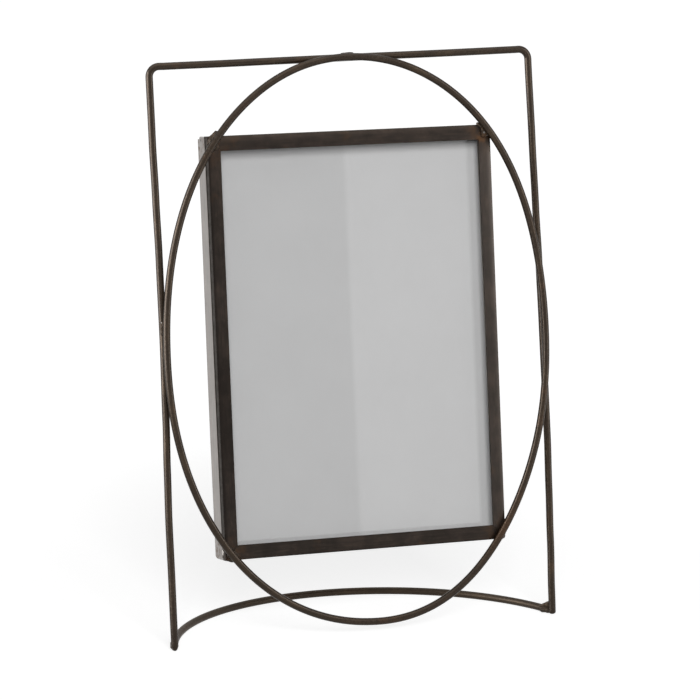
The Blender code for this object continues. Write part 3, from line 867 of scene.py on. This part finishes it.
# Each weld: piece, node, roughness, the axes of its balls, and its hulls. A hull is a list
# of balls: a place on those axes and a radius, in millimetres.
WELDS = [
    # where the picture box's corners meet the oval
    ("weld_box_top_left", "corner_weld_top_left", 0.13, place, [
        [(-63.65, 224.4, 0.9, 0.9), (-60.8, 226.85, 1.6, 0.9), (-59.6, 226.5, 2.1, 0.85),
         (-61.6, 224.0, 2.2, 1.2), (-63.2, 223.4, 1.2, 1.1)],
        [(-64.1, 222.2, 0.7, 1.1), (-62.9, 222.8, 1.7, 1.3), (-63.5, 224.0, 0.9, 1.2)],
        [(-61.3, 221.8, 1.5, 0.8), (-60.3, 220.3, 1.4, 0.8), (-61.6, 219.6, 1.4, 0.8)],
        [(-64.0, 223.8, -2.6, 0.8), (-63.8, 223.8, -0.8, 1.0)]]),
    ("weld_box_top_right", "corner_weld_top_right", 0.24, place, [
        [(66.1, 219.2, 1.7, 1.1), (67.6, 219.9, 1.9, 1.0), (65.7, 221.5, 2.1, 1.1)],
        [(63.55, 224.6, 1.6, 0.75), (64.9, 223.5, 1.9, 1.1), (66.0, 222.4, 1.4, 1.3)],
        [(67.5, 222.8, 0.3, 1.2), (67.7, 222.8, -3.1, 0.9)]]),
    ("weld_box_bottom_left", "corner_weld_bottom_left", 0.10, place, [
        [(-64.6, 39.2, -3.0, 0.9), (-63.95, 38.5, -0.3, 1.1), (-62.4, 38.05, 1.3, 1.1),
         (-61.3, 38.0, 1.7, 1.1), (-62.6, 39.8, 1.4, 1.3)],
        [(-63.6, 40.2, 1.6, 1.3), (-61.9, 40.4, 1.9, 1.2), (-61.0, 39.0, 1.9, 1.1)],
        [(-61.5, 41.7, 2.0, 0.8), (-60.4, 40.3, 2.0, 0.8)],
        [(-64.85, 42.5, -2.75, 0.55), (-64.9, 40.2, -2.75, 0.65)]]),
    ("weld_box_bottom_right", "corner_weld_bottom_right", 0.10, place, [
        [(68.45, 41.7, 1.8, 0.85), (67.6, 39.2, 1.6, 1.15), (66.75, 37.3, 1.4, 1.05),
         (66.1, 38.4, 2.6, 1.0), (67.5, 41.2, 2.8, 0.9)],
        [(68.95, 45.3, 1.8, 0.6), (68.6, 44.0, 1.8, 0.7)],
        [(67.6, 38.9, -3.1, 0.9), (67.3, 38.6, 0.2, 1.2)]]),
    # between the oval and the outer wire
    ("weld_oval_top", "oval_weld_top", 0.08, place, [
        [(-0.3, 258.3, 1.7, 0.85), (2.3, 258.45, 1.7, 0.85), (4.6, 258.4, 1.7, 0.85)],
        [(-2.2, 257.7, 1.7, 0.8), (6.3, 257.75, 1.7, 0.8), (2.0, 258.0, 1.7, 0.9)]]),
    ("weld_oval_left", "oval_weld_left", 0.16, place, [
        [(-90.2, 145.1, 1.7, 0.75), (-90.1, 140.1, 1.7, 0.75),
         (-88.9, 144.6, 2.2, 0.8), (-88.8, 140.4, 2.2, 0.8)]]),
    ("weld_oval_right", "oval_weld_right", 0.14, place, [
        [(92.55, 134.6, 1.5, 0.7), (92.70, 131.3, 1.5, 0.75), (92.50, 128.0, 1.5, 0.7)],
        [(91.65, 134.2, 1.9, 0.7), (91.45, 128.4, 1.9, 0.7)]]),
    # between the foot wire's ends and the legs
    ("weld_foot_left", "foot_weld_left", 0.10, floor_place, [
        [(-91.98, -31.1, 3.3, 0.95), (-92.02, -31.3, 1.5, 0.95), (-91.0, -31.5, 2.3, 1.3),
         (-91.5, -32.4, 0.95, 0.9)],
        [(-90.6, -30.7, 2.6, 1.2), (-89.95, -30.4, 1.8, 1.2), (-90.9, -31.6, 1.5, 1.3)]]),
    ("weld_foot_right", "foot_weld_right", 0.14, floor_place, [
        [(89.65, -31.12, 5.6, 0.5), (89.35, -30.52, 3.6, 1.0), (85.95, -28.32, 3.1, 0.6)],
        [(86.9, -28.9, 1.6, 1.35), (89.0, -30.9, 1.4, 1.3), (90.0, -31.9, 1.25, 1.15)]]),
]
for seed, (name, node, rough, to_place, hulls) in enumerate(WELDS, start=1):
    lump = weld(name, hulls, rough, seed, weld_iron, to_place)
    dark.append(settle(lump, "frame", "weld", node))


# ---------------------------------------------------------------- camera, light and floor

# Azimuths and elevations are degrees, and distances and lamp sizes are metres.
CAMERA_AZIMUTH, CAMERA_ELEVATION, CAMERA_DISTANCE = -21.2306, 10.90326, 1.9246
CAMERA_TARGET = Vector((-8.589, -32.734, 129.248)) * MM
CAMERA_LENS, CAMERA_SENSOR = 224.175, 36.0
LAMP_TARGET = Vector((0, 0, 0.12))
WORLD_LEVEL = 0.06
FLOOR_HALF = 6.0
FLOOR_GREY = (0.42, 0.42, 0.42)
# How the floor's glow grows outwards: from and to a distance, and its strength at each
FLOOR_GLOW = (0.12, 0.50, 0.82, 0.96)


def direction(azimuth, elevation):
    """From what is looked at, or lit, towards the camera or the lamp."""
    a, e = math.radians(azimuth), math.radians(elevation)
    return Vector((math.sin(a) * math.cos(e), -math.cos(a) * math.cos(e), math.sin(e)))


def stand_facing(name, data, target, back, distance):
    """Add a camera or lamp at a distance from its target, looking back at it."""
    item = bpy.data.objects.new(name, data)
    item.location = target + back * distance
    item.rotation_mode = "QUATERNION"
    item.rotation_quaternion = back.to_track_quat("Z", "Y")
    bpy.context.scene.collection.objects.link(item)
    return item


def make_camera():
    data = bpy.data.cameras.new("photo_camera")
    data.sensor_width, data.lens = CAMERA_SENSOR, CAMERA_LENS
    data.clip_start, data.clip_end = 0.05, 30.0
    bpy.context.scene.camera = stand_facing(
        "photo_camera", data, CAMERA_TARGET, direction(CAMERA_AZIMUTH, CAMERA_ELEVATION),
        CAMERA_DISTANCE)


def make_lamp(name, azimuth, elevation, distance, width, height, radiance, mirrored=True,
              diffuse=True, receivers=None):
    """A soft box. receivers is a collection, where the lamp lights that alone."""
    data = bpy.data.lights.new(name, "AREA")
    data.shape = "RECTANGLE"
    data.size, data.size_y = width, height
    data.energy = math.pi * width * height * radiance
    lamp = stand_facing(name, data, LAMP_TARGET, direction(azimuth, elevation), distance)
    lamp.visible_glossy = mirrored
    lamp.visible_diffuse = diffuse
    lamp.visible_transmission = False       # the glass lets its light through as shadow rays
    if receivers:
        lamp.light_linking.receiver_collection = receivers


def make_world():
    world = bpy.data.worlds.new("studio")
    bpy.context.scene.world = world
    world.use_nodes = True
    tree = Tree(world.node_tree)
    lighting = tree.nodes["Background"]
    tree.feed(lighting, "Color", WHITE)
    tree.feed(lighting, "Strength", WORLD_LEVEL)
    white = tree.add("Background", {"Color": WHITE, "Strength": 1.0})
    either = tree.add("MixShader", {0: tree.seen_directly(), 1: lighting.outputs[0], 2: white})
    tree.feed(tree.nodes["World Output"], "Surface", either)


def make_floor():
    """A matt floor that takes the shadow, made white only for rays that see it directly."""
    r = Recipe("white_floor", Base_Color=FLOOR_GREY, Roughness=0.9, Specular_IOR_Level=0.1)
    from_middle = r.vector("LENGTH", r.object_place(), output="Value")
    glow = r.add("Emission", {"Color": WHITE, "Strength": r.remap(from_middle, *FLOOR_GLOW)})
    nothing = r.add("Emission", {"Strength": 0.0})
    lift = r.add("MixShader", {0: r.seen_directly(), 1: nothing, 2: glow})
    r.show(r.add("AddShader", {0: r.shader.outputs[0], 1: lift}))
    work = bmesh.new()
    bmesh.ops.create_grid(work, x_segments=2, y_segments=2, size=FLOOR_HALF)
    mesh = bpy.data.meshes.new("studio_floor")
    work.to_mesh(mesh)
    work.free()
    floor = add_object("studio_floor", mesh, r.material)


# The rim lamps outline the dark pieces. The bare channel would only mirror them as a glare,
# and they would light the card through the glass.
dark_pieces = bpy.data.collections.new("dark_pieces")
for piece in dark:
    dark_pieces.objects.link(piece)

make_camera()
make_world()
make_lamp("front_lamp", -14.0, 24.0, 3.2, 1.31, 1.31, 16.8, mirrored=False)
make_lamp("left_rim_lamp", -88.0, 14.0, 0.85, 0.76, 0.78, 10.0, diffuse=False,
          receivers=dark_pieces)
make_lamp("right_rim_lamp", 50.0, 14.0, 0.85, 0.34, 0.78, 4.4, diffuse=False,
          receivers=dark_pieces)
make_lamp("overhead_lamp", -20.0, 76.0, 0.9, 1.20, 0.90, 1.3, diffuse=False)
make_floor()
bpy.context.scene.view_settings.view_transform = "Standard"
